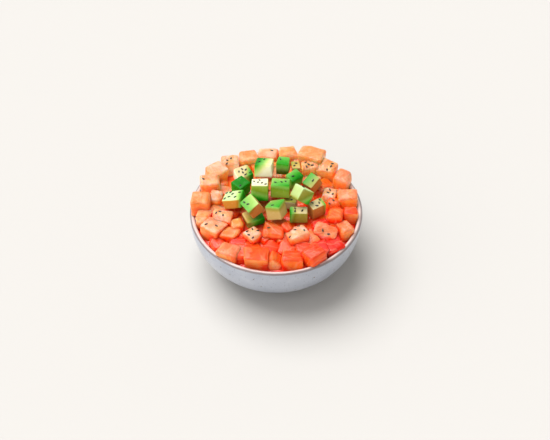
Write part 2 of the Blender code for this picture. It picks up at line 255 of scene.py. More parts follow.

# Tone of each die's top and of its sides: partly the flesh's own, partly painted light, as tops
# are painted paler where the light falls and the sides of dice at the back lighter against the
# heap's shade
FLESH_AND_PAINTED_LIGHT = {
    "left_rim": ("peach", "tangerine"),
    "left_back_a": ("cream", "apricot"),
    "left_back_b": ("cream", "gold"),
    "left_back_c": ("cream", "shell"),
    "back_a": ("apricot", "gold"),
    "back_b": ("cream", "peach"),
    "back_c": ("apricot", "apricot"),
    "back_tall": ("apricot", "apricot"),
    "back_inner": ("apricot", "gold"),
    "right_back_a": ("apricot", "gold"),
    "right_back_b": ("blush", "tangerine"),
    "right_inner_a": ("shell", "shell"),
    "right_rim_a": ("blush", "amber"),
    "right_inner_b": ("orange", "orange"),
    "right_rim_b": ("vermilion", "tangerine"),
    "right_inner_c": ("orange", "coral"),
    "right_inner_d": ("ruby", "ruby"),
    "right_front_fold": ("blush", "shell"),
    "right_rim_c": ("blush", "tangerine"),
    "right_front_red": ("ruby", "scarlet"),
    "front_inner_a": ("shell", "tangerine"),
    "front_rim_a": ("vermilion", "coral"),
    "front_rim_b": ("coral", "orange"),
    "front_rim_c": ("orange", "apricot"),
    "front_inner_b": ("orange", "tangerine"),
    "front_rim_d": ("coral", "tangerine"),
    "front_inner_c": ("shell", "tangerine"),
    "front_rim_e": ("blush", "tangerine"),
    "left_inner_a": ("peach", "orange"),
    "left_front_big": ("cream", "tangerine"),
    "left_inner_b": ("cream", "amber"),
    "left_inner_c": ("cream", "amber"),
    "left_inner_d": ("gold", "amber"),
    "left_front_low": ("vermilion", "vermilion"),
    "left_rim_low": ("apricot", "cream"),
    "filling_02": ("vermilion", "vermilion"),
    "filling_03": ("coral", "orange"),
    "filling_04": ("vermilion", "orange"),
    "filling_05": ("ruby", "ruby"),
    "filling_06": ("scarlet", "orange"),
    "filling_07": ("peach", "orange"),
    "filling_10": ("apricot", "amber"),
    "filling_25": ("orange", "cream"),
    "filling_42": ("tangerine", "gold"),
}
# Tones of filling dice at the back and in front; the paler ones at the back are partly painted
# sheen of the light from behind
FILLING_BACK = (
    ("apricot", "amber"), ("peach", "orange"), ("tangerine", "amber"), ("blush", "orange"))
FILLING_FRONT = (
    ("orange", "coral"), ("coral", "vermilion"), ("tangerine", "orange"), ("coral", "coral"))
FILLING_BORDER = 15.0   # how far back the paler flesh begins, paler partly as painted sheen
# Plain tone for sides at the back that look outward, without the painted light of sides that look
# inwards
OUTWARD_BACK = "peach"
# Core tones, paler at the back partly as painted sheen
CORE_TONES_BACK = ("peach", "tangerine", "blush", "orange")
CORE_TONES_FRONT = ("orange", "coral", "vermilion", "scarlet")
SHADE_BACK = 0.18       # how much of the painted shade in deep red shows low down, at the back and in front
SHADE_FRONT = 1.0

# Casts over the pale flesh of the avocado: partly where the air has browned it or the green shows
# through, partly painted light, with sides painted darker as shade, warmer as the salmon's orange
# bounce, and some tops mint as sheen
CASTS_AND_PAINTED_LIGHT = {
    "fresh": (255, 255, 246),
    "soft": (218, 220, 200),
    "mint": (176, 206, 160),
    "dull": (192, 180, 148),
    "tan": (188, 164, 108),
    "lime": (146, 178, 64),
    "olive": (150, 154, 66),
    "orange": (206, 144, 62),
    "rust": (188, 128, 68),
    "moss": (88, 108, 28),
    "umber": (150, 96, 44),
}

# Where the skin was on each avocado die: its direction, its distance from the die's middle, how
# deep the green goes in from it, and the casts of the top and of the sides, partly browning and
# partly painted light and shade
SKIN = {
    "avocado_01": ((-0.75, 0.45, 0.55), 8.5, 11.0, "soft", "fresh"),
    "avocado_02": ((-0.10, -0.35, 1.00), 9.5, 17.0, "soft", "moss"),
    "avocado_03": ((1.00, -0.10, 0.00), 8.0, 7.0, "dull", "fresh"),
    "avocado_04": ((-0.30, -0.75, -0.75), 8.5, 11.0, "soft", "lime"),
    "avocado_05": ((0.10, -0.20, 1.00), 2.0, 34.0, "soft", "tan"),
    "avocado_06": ((1.00, -0.10, 0.00), 8.5, 7.0, "mint", "orange"),
    "avocado_07": ((0.10, 0.10, 1.00), 9.5, 10.0, "soft", "lime"),
    "avocado_08": ((0.50, -0.50, 0.60), 7.5, 16.0, "soft", "lime"),
    "avocado_09": ((-0.60, 0.20, 0.80), 10.0, 12.0, "dull", "rust"),
    "avocado_10": ((0.40, -0.40, -1.00), 8.5, 12.0, "mint", "olive"),
    "avocado_11": ((-0.60, -0.30, 0.60), 10.5, 9.0, "mint", "rust"),
    "avocado_12": ((-0.10, 0.30, 1.00), 9.3, 8.0, "dull", "tan"),
    "avocado_13": ((-1.00, -0.10, 0.20), 9.5, 8.0, "dull", "olive"),
    "avocado_14": ((1.00, 0.50, 0.10), 9.0, 6.0, "dull", "rust"),
    "avocado_15": ((0.80, -0.40, -0.40), 7.0, 14.0, "tan", "umber"),
    "avocado_16": ((0.20, 0.40, -1.00), 10.0, 10.0, "olive", "dull"),
    "avocado_17": ((-0.30, 0.30, 0.60), 13.0, 12.0, "tan", "tan"),
}
AVOCADO_TOP_FACING = (0.40, 0.80)

# Glaze: tones with their places in the ramp, and where in millimetres each part of it lies
GLAZE_TONES = ((0.30, (158, 164, 177)), (0.50, (169, 174, 186)), (0.72, (182, 186, 195)))
GLAZE_ROUGHNESS = 0.24
GLAZE_ROUGHNESS_VARIES = 0.12
LINE_TONE = (118, 104, 104)
LINE_HEIGHTS = (55.8, 56.9)
LINE_WANDER = 1.0
LIP_TONE = (158, 141, 137)
LIP_HEIGHTS = (57.65, 57.9)
INSIDE_TONE = (196, 179, 173)
INSIDE_RADII = (77.2, 78.4)
INSIDE_HEIGHTS = (40.0, 50.0)
BARE_TONE = (178, 158, 136)
BARE_HEIGHTS = (0.5, 1.3)
BARE_ROUGHNESS = 0.45
# Fine and coarse specks: scale, size, the channel that picks them, how few they are, and tone
SPECKS = (
    (520.0, (0.18, 0.34), "Red", (0.62, 0.80), (132, 138, 152)),
    (210.0, (0.10, 0.24), "Green", (0.80, 0.90), (120, 106, 98)),
)

# Raw salmon: tone of each texture, between which values it shows, and how strongly
WARM_TONE = (255, 214, 172)
WARM_RANGE = (0.42, 0.62)
GOLD_TONE = (255, 255, 150)
GOLD_RANGE = (0.52, 0.70)
GOLD_SHARE = 0.40
FAT_TONE = (246, 178, 140)
FAT_RANGE = (0.84, 1.0)
FAT_SHARE = 0.16
FAT_RELIEF = 0.8
FIBRE_TONE = (240, 160, 116)
FIBRE_RANGE = (0.55, 0.75)
FIBRE_SHARE = 0.06
FIBRE_STRETCH = (2.6, 0.35, 0.35)
SALMON_ROUGHNESS = 0.20
SALMON_ROUGHNESS_VARIES = 0.22

# Avocado: from the cream flesh to the green by the skin, and its textures
AVOCADO_TONES = (
    (0.00, (252, 248, 222)),
    (0.22, (240, 238, 184)),
    (0.45, (196, 222, 124)),
    (0.66, (140, 206, 86)),
    (0.84, (62, 172, 32)),
    (1.00, (12, 136, 6)),
)
GREEN_DRIFT = 0.22
# Painted shade: green faces that look up are painted darker and cooler
GREEN_TOP_SHADE = (184, 206, 206)
GREEN_TOP_SHADE_RANGE = (0.30, 0.70)
CAST_AND_LIGHT_RANGE = (0.35, 0.85)
MOTTLE_TONE = (255, 255, 240)
MOTTLE_RANGE = (0.5, 0.8)
MOTTLE_SHARE = 0.06
AVOCADO_ROUGHNESS = 0.25
AVOCADO_ROUGHNESS_VARIES = 0.25

SESAME_TONES = ((0.35, (12, 9, 8)), (0.60, (24, 18, 15)), (0.80, (46, 36, 30)))


def screen(colour):
    """A colour as a screen shows it, from 0 to 255, as the linear colour that a shader takes."""
    parts = [c / 255 for c in colour]
    return np.array([c / 12.92 if c < 0.04045 else ((c + 0.055) / 1.055) ** 2.4 for c in parts])


def only(item):
    """Selects one object alone."""
    bpy.ops.object.select_all(action="DESELECT")
    item.select_set(True)
    bpy.context.view_layer.objects.active = item


def apply(item, kind, **settings):
    """Puts a modifier on an object and applies it."""
    modifier = item.modifiers.new(kind.lower(), kind)
    for name, value in settings.items():
        setattr(modifier, name, value)
    only(item)
    bpy.ops.object.modifier_apply(modifier=modifier.name)


def points_of(item):
    """The points of an object's mesh, one row each."""
    flat = np.empty(len(item.data.vertices) * 3)
    item.data.vertices.foreach_get("co", flat)
    return flat.reshape(-1, 3)


def normals_of(item):
    """The directions in which an object's surface faces at its points, one row each."""
    flat = np.empty(len(item.data.vertices) * 3)
    item.data.vertices.foreach_get("normal", flat)
    return flat.reshape(-1, 3)


def move_points(item, points):
    """Puts the points of an object's mesh in new places."""
    item.data.vertices.foreach_set("co", points.ravel())
    item.data.update()


def smoothstep(low, high, values):
    """Values brought smoothly from a range to 0 to 1."""
    share = np.clip((values - low) / (high - low), 0.0, 1.0)
    return share * share * (3.0 - 2.0 * share)


# Placing rules, the same as the model's


def separation(one, other):
    """Gap between two boxes along the axis that parts them best; below 0 they cross."""
    axes_one = [one.turn.col[index] for index in range(3)]
    axes_other = [other.turn.col[index] for index in range(3)]
    axes = axes_one + axes_other + [a.cross(b) for a in axes_one for b in axes_other]
    best = -math.inf
    for axis in axes:
        if axis.length < TINY:
            continue
        axis = axis.normalized()
        reach = sum(abs(axis.dot(a)) * s / 2 for a, s in zip(axes_one, one.size))
        reach += sum(abs(axis.dot(a)) * s / 2 for a, s in zip(axes_other, other.size))
        best = max(best, abs(axis.dot(other.centre - one.centre)) - reach)
    return best


def distance(point, box):
    """How far a point lies outside a box."""
    local = box.turn.transposed() @ (point - box.centre)
    beyond = Vector(max(0.0, abs(c) - s / 2) for c, s in zip(local, box.size))
    return beyond.length


def settled(item):
    """The die lowered until it is clear of the avocado, or nothing if it would be buried."""
    centre = item.centre.copy()
    while centre.z + item.size.z / 2 > LOWEST_TOP:
        lowered = item._replace(centre=centre.copy())
        if all(separation(lowered, topping) > CLEARANCE for topping in AVOCADO):
            return lowered
        centre.z -= LOWER_STEP
    return None


def filling_dice(placed, draw):
    """Dice for the gaps that the placed ones leave, each as high as it can lie."""
    dice = []
    steps = int(FILL_REACH / FILL_PITCH)
    grid = range(-steps, steps + 1)
    for (sizes, spacing), row, column in itertools.product(FILLINGS, grid, grid):
        spot = Vector((column, row)) * FILL_PITCH
        near = any((item.centre.xy - spot).length < spacing for item in placed + dice)
        if near or spot.length > FILL_REACH:
            continue
        size = [draw.uniform(*sizes) for _ in range(3)]
        turn = [draw.uniform(-most, most) for most in (FILL_YAW, FILL_TILT, FILL_TILT)]
        top = FILL_TOP_MIDDLE if spot.length < FILL_MIDDLE else FILL_TOP_EDGE
        name = f"filling_{len(dice):02d}"
        found = settled(die(name, (*spot, top - size[2] / 2), turn, size))
        if found:
            dice.append(found)
    return dice


def ragged_corners(item, ragged, draw):
    """The die's corners in its own axes, each drawn in a little, keyed by their sides."""
    corners = {}
    for sides in itertools.product((-1, 1), repeat=3):
        corners[sides] = Vector(
            side * (length / 2 - draw.uniform(*ragged)) for side, length in zip(sides, item.size))
    return corners


def top_height(item, corners, x, y):
    """Height of the die's uneven top over a spot, in its own axes."""
    across = 0.5 + x / item.size.x
    along = 0.5 + y / item.size.y
    front = corners[-1, -1, 1].z * (1 - across) + corners[1, -1, 1].z * across
    back = corners[-1, 1, 1].z * (1 - across) + corners[1, 1, 1].z * across
    return front * (1 - along) + back * along


def seed_places(item, corners, others, draw):
    """Spots on the die's top that keep clear of each other, of its edges and of other dice."""
    spots = []
    for _ in range(SEED_TRIES):
        if len(spots) == item.seeds:
            break
        x = draw.uniform(-1, 1) * (item.size.x / 2 - SEED_BORDER)
        y = draw.uniform(-1, 1) * (item.size.y / 2 - SEED_BORDER)
        heading = draw.uniform(0, 180)
        top = Vector((x, y, top_height(item, corners, x, y)))
        world = item.centre + item.turn @ top
        blocked = any(distance(world, other) < SEED_ROOM for other in others if other is not item)
        crowded = any((top - spot[0]).length < SEED_SPACING for spot in spots)
        if not blocked and not crowded:
            spots.append((top, heading))
    return spots


# Bowl


def wall_curve(base_radius, base_height, top_radius, top_height):
    """The bowl's side from its base up to its top, a superellipse."""
    points = []
    for step in range(CURVE_STEPS + 1):
        angle = 0.5 * math.pi * step / CURVE_STEPS
        across = math.sin(angle) ** (2.0 / ROUNDNESS)
        up = 1.0 - math.cos(angle) ** (2.0 / ROUNDNESS)
        radius = base_radius + (top_radius - base_radius) * across
        height = base_height + (top_height - base_height) * up
        points.append((radius, height))
    return points


def inner_curve(gap):
    """The hollow's side from its floor to the rim, drawn in by a gap."""
    floor = FOOT_RECESS + FLOOR_THICKNESS + gap
    return wall_curve(BASE_RADIUS - WALL, floor, RIM_RADIUS - WALL - gap, BOWL_HEIGHT - WALL / 2)


def arc(centre_radius, centre_height, reach, start, end, steps):
    """Points on an arc in the profile, from one angle to another in degrees."""
    points = []
    for step in range(steps + 1):
        angle = math.radians(start + (end - start) * step / steps)
        radius = centre_radius + reach * math.cos(angle)
        height = centre_height + reach * math.sin(angle)
        points.append((radius, height))
    return points


def thrown(name, outline, steps):
    """A round piece raised ring by ring, from the middle of its underside to that of its top."""
    radius, height = outline[0]
    bpy.ops.mesh.primitive_circle_add(
        vertices=steps, radius=radius * MM, fill_type="TRIFAN", location=(0, 0, height * MM))
    piece = bpy.context.active_object
    piece.name = name
    bpy.ops.object.mode_set(mode="EDIT")
    bpy.ops.mesh.select_all(action="DESELECT")
    bpy.ops.mesh.select_non_manifold()
    for next_radius, next_height in outline[1:]:
        rise = (0, 0, (next_height - height) * MM)
        bpy.ops.mesh.extrude_edges_move(TRANSFORM_OT_translate={"value": rise})
        grow = next_radius / radius
        bpy.ops.transform.resize(value=(grow, grow, 1), center_override=(0, 0, 0))
        radius, height = next_radius, next_height
    bpy.ops.mesh.merge(type="CENTER")
    bpy.ops.mesh.select_all(action="SELECT")
    bpy.ops.mesh.normals_make_consistent(inside=False)
    bpy.ops.object.mode_set(mode="OBJECT")
    bpy.ops.object.transform_apply(location=True, rotation=True, scale=True)
    return piece


def make_bowl(glaze):
    """The bowl, from the recess in its foot over the rounded lip to the middle of its floor."""
    bevel = FOOT_BEVEL
    outline = [(FOOT_RADIUS - FOOT_WIDTH, FOOT_RECESS)]
    outline += arc(FOOT_RADIUS - FOOT_WIDTH + bevel, bevel, bevel, 180, 270, BEVEL_STEPS)
    outline += arc(FOOT_RADIUS - bevel, bevel, bevel, 270, 360, BEVEL_STEPS)
    side = wall_curve(BASE_RADIUS, FOOT_HEIGHT, RIM_RADIUS, BOWL_HEIGHT - WALL / 2)
    outside = [point for point in side if point[0] > FOOT_RADIUS]
    outline += [(FOOT_RADIUS, outside[0][1] - bevel)] + outside[:-1]
    outline += arc(RIM_RADIUS - WALL / 2, BOWL_HEIGHT - WALL / 2, WALL / 2, 0, 180, RIM_STEPS)
    outline += inner_curve(0.0)[-2::-1]
    outline += [(MIDDLE_RING, outline[-1][1])]
    bowl = thrown("glazed_bowl", outline, TURN_STEPS)
    only(bowl)
    bpy.ops.object.shade_smooth_by_angle(angle=math.radians(SHARP_ANGLE))
    bowl.data.materials.append(glaze)
    return bowl


# Dice


def grid_cube(name, cuts):
    """A cube from -1 to 1 with its faces cut into a grid, the blank that dice are shaped from."""
    bpy.ops.mesh.primitive_cube_add(size=2.0)
    blank = bpy.context.active_object
    blank.name = name
    bpy.ops.object.mode_set(mode="EDIT")
    bpy.ops.mesh.subdivide(number_cuts=cuts)
    bpy.ops.object.mode_set(mode="OBJECT")
    return blank


def rounded(points, size, radius, crowd):
    """Grid points of a cube of side 2 with its edges rounded, and its rows drawn to the edges."""
    points = points * (1.0 + crowd * 0.5 * (1.0 - points ** 2))
    half = np.array(size) / 2
    inner = half - radius
    spread = points * half
    core = np.clip(spread, -inner, inner)
    beyond = spread - core
    length = np.linalg.norm(beyond, axis=1, keepdims=True)
    return (core + beyond / length * radius) / half


def on_corners(points, corners):
    """Points of a cube of side 2 carried along with its eight corners."""
    placed = np.zeros_like(points)
    for sides, corner in corners.items():
        share = np.prod(1.0 + points * np.array(sides), axis=1) / 8
        placed += share[:, None] * np.array(corner)
    return placed


def wobble(points, waves, draw):
    """Points pushed about by soft noise, in waves of a length and a height."""
    moved = points.copy()
    for length, height in waves:
        shift = Vector([draw.uniform(-NOISE_SPREAD, NOISE_SPREAD) for _ in range(3)])
        for index, point in enumerate(points):
            push = noise.noise_vector(Vector(point) / length + shift)
            moved[index] += np.array(push) * height
    return moved


def cut_die(blank, item, corners, style, draw):
    """A copy of the blank shaped as one die, in its place."""
    edge, crowd, waves, swell = style
    piece = blank.copy()
    piece.data = blank.data.copy()
    piece.name = item.name
    bpy.context.collection.objects.link(piece)
    points = rounded(points_of(piece), item.size, draw.uniform(*edge), crowd)
    points = on_corners(points, corners) * (1.0 + 2.0 * swell / np.array(item.size))
    points = wobble(points, waves, draw)
    points = points @ np.array(item.turn).T + np.array(item.centre)
    move_points(piece, points * MM)
    return piece


def shaped_die(blank, item, ragged, style):
    """One die cut and smoothed, with its corners, its random draws and those for its seeds."""
    draw = random.Random(item.name)
    corners = ragged_corners(item, ragged, draw)
    seeds_draw = random.Random()
    seeds_draw.setstate(draw.getstate())
    piece = cut_die(blank, item, corners, style, draw)
    apply(piece, "SUBSURF", levels=1, render_levels=1)
    return piece, corners, draw, seeds_draw


def pressed(points):
    """Points that would lie in the bowl's wall or lip drawn in to it, as soft flesh lies on it."""
    side = inner_curve(WALL_GAP)
    heights = [height for _, height in side]
    radii = [radius for radius, _ in side]
    reach = WALL / 2 + WALL_GAP
    lip_radius = RIM_RADIUS - WALL / 2
    lip_height = BOWL_HEIGHT - WALL / 2
    z = points[:, 2]
    radius = np.hypot(points[:, 0], points[:, 1])
    limit = np.interp(z, heights, radii)
    over = z - lip_height
    lip = lip_radius - np.sqrt(np.maximum(reach ** 2 - over ** 2, 0.0))
    limit = np.where(over > 0, lip, limit)
    limit = np.where(over > reach, np.inf, limit)
    share = np.minimum(1.0, limit / np.maximum(radius, TINY))
    moved = points.copy()
    moved[:, :2] *= share[:, None]
    return moved


def outside_box(points, box):
    """How far each point lies outside a die."""
    local = (points - np.array(box.centre)) @ np.array(box.turn)
    beyond = np.maximum(np.abs(local) - np.array(box.size) / 2, 0.0)
    return np.linalg.norm(beyond, axis=1)


def add_attribute(item, name, kind, values):
    """Stores one value for each point of the piece's mesh."""
    attribute = item.data.attributes.new(name, kind, "POINT")
    field = {"FLOAT_COLOR": "color", "FLOAT_VECTOR": "vector", "FLOAT": "value"}[kind]
    attribute.data.foreach_set(field, np.ascontiguousarray(values, dtype=np.float32).ravel())


def paint_flesh(piece, item, dice, draw):
    """Tones of one die with painted light and shade: a top painted paler as lit, stronger sides,
    painted shade in deep red low down and where dice meet.
    """
    filling = FILLING_BACK if item.centre.y > FILLING_BORDER else FILLING_FRONT
    top, side = FLESH_AND_PAINTED_LIGHT.get(item.name) or draw.choice(filling)
    points = points_of(piece) / MM
    facing = normals_of(piece)
    # Painted light: faces that look up take the top's paler tone, as the light falls on them
    lift = smoothstep(*TOP_LIGHT_FACING, facing[:, 2])
    painted_top_light = lift[:, None]
    side_colour = np.clip(screen(TONES[side]) / SIDE_LIGHT, 0.0, SIDE_BRIGHTEST)
    # At the back, sides that look inwards keep a tone painted lighter against the heap's shade;
    # sides that look outward take a plain tone
    outward = smoothstep(*OUTWARD_FACING, facing[:, :2] @ np.array(item.centre.xy.normalized()))
    shift = (outward * smoothstep(0.0, FILLING_BORDER, item.centre.y))[:, None]
    side_colour = side_colour * (1 - shift) + screen(TONES[OUTWARD_BACK]) * shift
    colour = side_colour * (1 - painted_top_light) + screen(TONES[top]) / TOP_LIGHT * painted_top_light
    # Painted shade: deep red where dice meet, less of it on tops, and growing down a die's sides
    others = [other for other in dice if other is not item]
    near = [other for other in others if (other.centre - item.centre).length < CREVICE_REACH]
    gap = np.min([outside_box(points, other) for other in near], axis=0)
    crevice_shade = np.exp(-gap / CREVICE_FADE) * (CREVICE_SHADE_RED - CREVICE_SHADE_OFF_TOP * lift)
    low = LOW_SHADE_RED * smoothstep(*LOW_SHADE_REACH, points[:, 2].max() - points[:, 2])
    forward = smoothstep(-FILLING_BORDER, FILLING_BORDER, -item.centre.y)
    depth = SHADE_BACK + (SHADE_FRONT - SHADE_BACK) * forward
    painted_shade = np.clip((crevice_shade + low * (1 - lift)) * depth, 0.0, DEEPEST_SHADE)[:, None]
    colour = colour * (1 - painted_shade) + screen(SHADE_RED) * painted_shade
    add_attribute(piece, "flesh", "FLOAT_COLOR", np.hstack([colour, np.ones((len(points), 1))]))
    grain = Euler([draw.uniform(0, math.tau) for _ in range(3)]).to_matrix()
    offset = np.array([draw.uniform(-GRAIN_SPREAD, GRAIN_SPREAD) for _ in range(3)])
    local = (points - np.array(item.centre)) @ np.array(grain) + offset
    add_attribute(piece, "grain", "FLOAT_VECTOR", local)


def seeds_on(piece, item, corners, others, draw, seed):
    """Sesame seeds lying on the top of one die."""
    polygons = [list(face.vertices) for face in piece.data.polygons]
    surface = BVHTree.FromPolygons([vert.co for vert in piece.data.vertices], polygons)
    up = item.turn.col[2]
    made = []
    for top, heading in seed_places(item, corners, others, draw):
        start = (item.centre + item.turn @ top + up * SEED_DROP) * MM
        spot, normal, _, _ = surface.ray_cast(start, -up)
        copy = seed.copy()
        copy.data = seed.data.copy()
        bpy.context.collection.objects.link(copy)
        least, most = 1 - SEED_VARIES, 1 + SEED_VARIES
        size = Vector(length * draw.uniform(least, most) for length in SEED_SIZE) * MM
        tilt = up.rotation_difference(normal).to_matrix() @ item.turn
        spin = Matrix.Rotation(math.radians(heading), 3, "Z")
        lift = normal * SEED_SIZE[2] * (0.5 - SEED_SINK) * MM
        turned = Matrix.Translation(spot + lift) @ (tilt @ spin).to_4x4()
        copy.data.transform(turned @ Matrix.Diagonal((*size, 1)))
        made.append(copy)
    return made


def sesame_seed():
    """One seed of size 1, squashed later, that narrows to a blunt point."""
    bpy.ops.mesh.primitive_uv_sphere_add(segments=SEED_SEGMENTS, ring_count=SEED_RINGS, radius=0.5)
    seed = bpy.context.active_object
    bpy.ops.object.mode_set(mode="EDIT")
    bpy.ops.transform.rotate(value=math.radians(90), orient_axis="Y", center_override=(0, 0, 0))
    bpy.ops.object.mode_set(mode="OBJECT")
    points = points_of(seed)
    narrow = 1.0 - SEED_TAPER * (points[:, 0] + 0.5)
    points[:, 1] *= narrow * SEED_BREADTH
    points[:, 2] *= SEED_TIP + (1.0 - SEED_TIP) * narrow
    move_points(seed, points)
    for face in seed.data.polygons:
        face.use_smooth = True
    return seed


def joined(name, pieces, material):
    """Several pieces made one, with one material."""
    bpy.ops.object.select_all(action="DESELECT")
    for piece in pieces:
        piece.select_set(True)
    bpy.context.view_layer.objects.active = pieces[0]
    if len(pieces) > 1:
        bpy.ops.object.join()
    whole = bpy.context.view_layer.objects.active
    whole.name = name
    whole.data.name = name
    whole.data.materials.clear()
    whole.data.materials.append(material)
    bpy.ops.object.shade_smooth()
    return whole


def core_pieces(points):
    """How near each point is to a seam between the pressed pieces, and its colour, with painted
    shade in deep red along the seams and towards the rim.
    """
    draw = random.Random("core")
    steps = int(RIM_RADIUS / CORE_PITCH)
    middles = []
    tones = []
    for row, column in itertools.product(range(-steps, steps + 1), repeat=2):
        x = (column + draw.uniform(-CORE_SHIFT, CORE_SHIFT)) * CORE_PITCH
        y = (row + draw.uniform(-CORE_SHIFT, CORE_SHIFT)) * CORE_PITCH
        middles.append([x, y])
        choice = CORE_TONES_BACK if y > FILLING_BORDER else CORE_TONES_FRONT
        tones.append(screen(TONES[draw.choice(choice)]) / CORE_LIGHT)
    apart = np.abs(points[:, None, :2] - np.array(middles))
    reach = np.sum(apart ** CORE_SQUARE, axis=2) ** (1 / CORE_SQUARE)
    nearest = np.argmin(reach, axis=1)
    first, second = np.partition(reach, 1, axis=1)[:, :2].T
    # Painted shade: deep red along the seams between the pieces and towards the rim
    seam = np.exp(-(second - first) / CORE_SEAM)
    rim = CORE_RIM_SHADE * smoothstep(*CORE_RIM, np.hypot(points[:, 0], points[:, 1]))
    share = np.maximum(seam, rim)[:, None]
    return seam, np.array(tones)[nearest] * (1.0 - share) + screen(SHADE_RED) * share


def make_core(material):
    """The middle of the heap: flesh that fills the bowl and rises to a low lumpy dome."""
    side = [point for point in inner_curve(CORE_GAP) if point[1] < CORE_EDGE]
    edge = side[-1][0]
    dome = []
    for ring in range(CORE_RINGS):
        share = ring / CORE_RINGS
        height = CORE_EDGE + CORE_RISE * (1.0 - (1.0 - share) ** CORE_FULLNESS)
        dome.append((edge * (1.0 - share), height))
    core = thrown("salmon_core", side + dome, TURN_STEPS)
    points = points_of(core) / MM
    seam, colour = core_pieces(points)
    top = points[:, 2] > CORE_EDGE
    points[top, 2] += CORE_BULGE * (1.0 - seam[top])
    lumps = [noise.noise(Vector(point) / CORE_LUMP_LENGTH) for point in points[top]]
    points[top, 2] += np.array(lumps) * CORE_LUMP_HEIGHT
    move_points(core, points * MM)
    add_attribute(core, "flesh", "FLOAT_COLOR", np.hstack([colour, np.ones((len(points), 1))]))
    add_attribute(core, "grain", "FLOAT_VECTOR", points * CORE_GRAIN)
    return joined("salmon_core", [core], material)


def make_salmon(seed, material):
    """The heap's dice, one object, and the seeds that lie on them."""
    placed = [settled(item) for item in SALMON]
    dice = [item for item in placed if item]
    dice += filling_dice(dice, random.Random("filling"))
    blank = grid_cube("salmon_blank", SALMON_CUTS)
    style = (SALMON_EDGE, SALMON_CROWD, SALMON_WOBBLE, SALMON_SWELL)
    pieces = []
    seeds = []
    for item in dice:
        piece, corners, draw, seeds_draw = shaped_die(blank, item, SALMON_RAGGED, style)
        move_points(piece, pressed(points_of(piece) / MM) * MM)
        paint_flesh(piece, item, dice, draw)
        seeds += seeds_on(piece, item, corners, AVOCADO + tuple(dice), seeds_draw, seed)
        pieces.append(piece)
    bpy.data.objects.remove(blank, do_unlink=True)
    return joined("salmon_dice", pieces, material), seeds


def make_avocado(seed, material):
    """The avocado dice, an object each, and the seeds that lie on them."""
    blank = grid_cube("avocado_blank", AVOCADO_CUTS)
    style = (AVOCADO_EDGE, AVOCADO_CROWD, AVOCADO_WOBBLE, 0.0)
    pieces = []
    seeds = []
    for item in AVOCADO:
        piece, corners, _, seeds_draw = shaped_die(blank, item, AVOCADO_RAGGED, style)
        direction, reach, depth, above, beside = SKIN[item.name]
        points = points_of(piece) / MM
        towards = (points - np.array(item.centre)) @ np.array(Vector(direction).normalized())
        add_attribute(piece, "green", "FLOAT", 1.0 - (reach - towards) / depth)
        # Painted light and shade: the top and the sides take different casts by which way they
        # face
        side = 1.0 - smoothstep(*AVOCADO_TOP_FACING, normals_of(piece)[:, 2])[:, None]
        tint = side * screen(CASTS_AND_PAINTED_LIGHT[beside]) + (1.0 - side) * screen(CASTS_AND_PAINTED_LIGHT[above])
        add_attribute(piece, "cast", "FLOAT_COLOR", np.hstack([tint, 1.0 - side]))
        seeds += seeds_on(piece, item, corners, AVOCADO, seeds_draw, seed)
        number = item.name.split("_")[1]
        pieces.append(joined("avocado_die_" + number, [piece], material))
    bpy.data.objects.remove(blank, do_unlink=True)
    return pieces, seeds


# Finishes


def feed(tree, socket, value):
    """Gives a socket a value, or links it to the output that feeds it."""
    if isinstance(value, bpy.types.NodeSocket):
        tree.links.new(value, socket)
    else:
        socket.default_value = value


def feed_all(tree, node, **sockets):
    """Feeds the node's sockets by name."""
    for name, value in sockets.items():
        feed(tree, node.inputs[name.replace("_", " ")], value)


def add_node(tree, kind, settings=None, **sockets):
    """Adds a node with its settings and what feeds its sockets."""
    made = tree.nodes.new(kind)
    for name, value in (settings or {}).items():
        setattr(made, name, value)
    feed_all(tree, made, **sockets)
    return made


def blend(tree, factor, below, above, mode="MIX"):
    """One colour laid over another."""
    made = tree.nodes.new("ShaderNodeMix")
    made.data_type = "RGBA"
    made.blend_type = mode
    for index, value in ((0, factor), (6, below), (7, above)):
        feed(tree, made.inputs[index], value)
    return made.outputs[2]


def ramp(tree, factor, stops, interpolation="EASE"):
    """A colour ramp with stops (position, tone)."""
    made = tree.nodes.new("ShaderNodeValToRGB")
    made.color_ramp.interpolation = interpolation
    elements = made.color_ramp.elements
    while len(elements) < len(stops):
        elements.new(0.5)
    for element, (position, tone) in zip(elements, stops):
        element.position = position
        element.color = paint(tone)
    tree.links.new(factor, made.inputs["Fac"])
    return made.outputs["Color"]


def calculate(tree, operation, first, second, clamp=False):
    """The result of one sum of two values."""
    made = tree.nodes.new("ShaderNodeMath")
    made.operation = operation
    made.use_clamp = clamp
    for socket, value in zip(made.inputs, (first, second)):
        feed(tree, socket, value)
    return made.outputs[0]


def times(tree, first, second):
    return calculate(tree, "MULTIPLY", first, second)


def drift(tree, noise_value, size):
    """Noise turned into a shift to either side of 0."""
    return times(tree, calculate(tree, "SUBTRACT", noise_value, 0.5), size)


def ease(tree, value, low, high, to_low=0.0, to_high=1.0):
    """A value brought smoothly from one range to another."""
    made = add_node(
        tree, "ShaderNodeMapRange", {"interpolation_type": "SMOOTHSTEP"},
        Value=value, From_Min=low, From_Max=high, To_Min=to_low, To_Max=to_high)
    return made.outputs["Result"]


def paint(tone):
    """A tone as a screen shows it, as the opaque colour that a socket takes."""
    return (*screen(tone), 1.0)


def bump(tree, height, strength, distance):
    """The direction of a surface with fine relief."""
    made = add_node(
        tree, "ShaderNodeBump", Height=height, Strength=strength, Distance=distance)
    return made.outputs["Normal"]


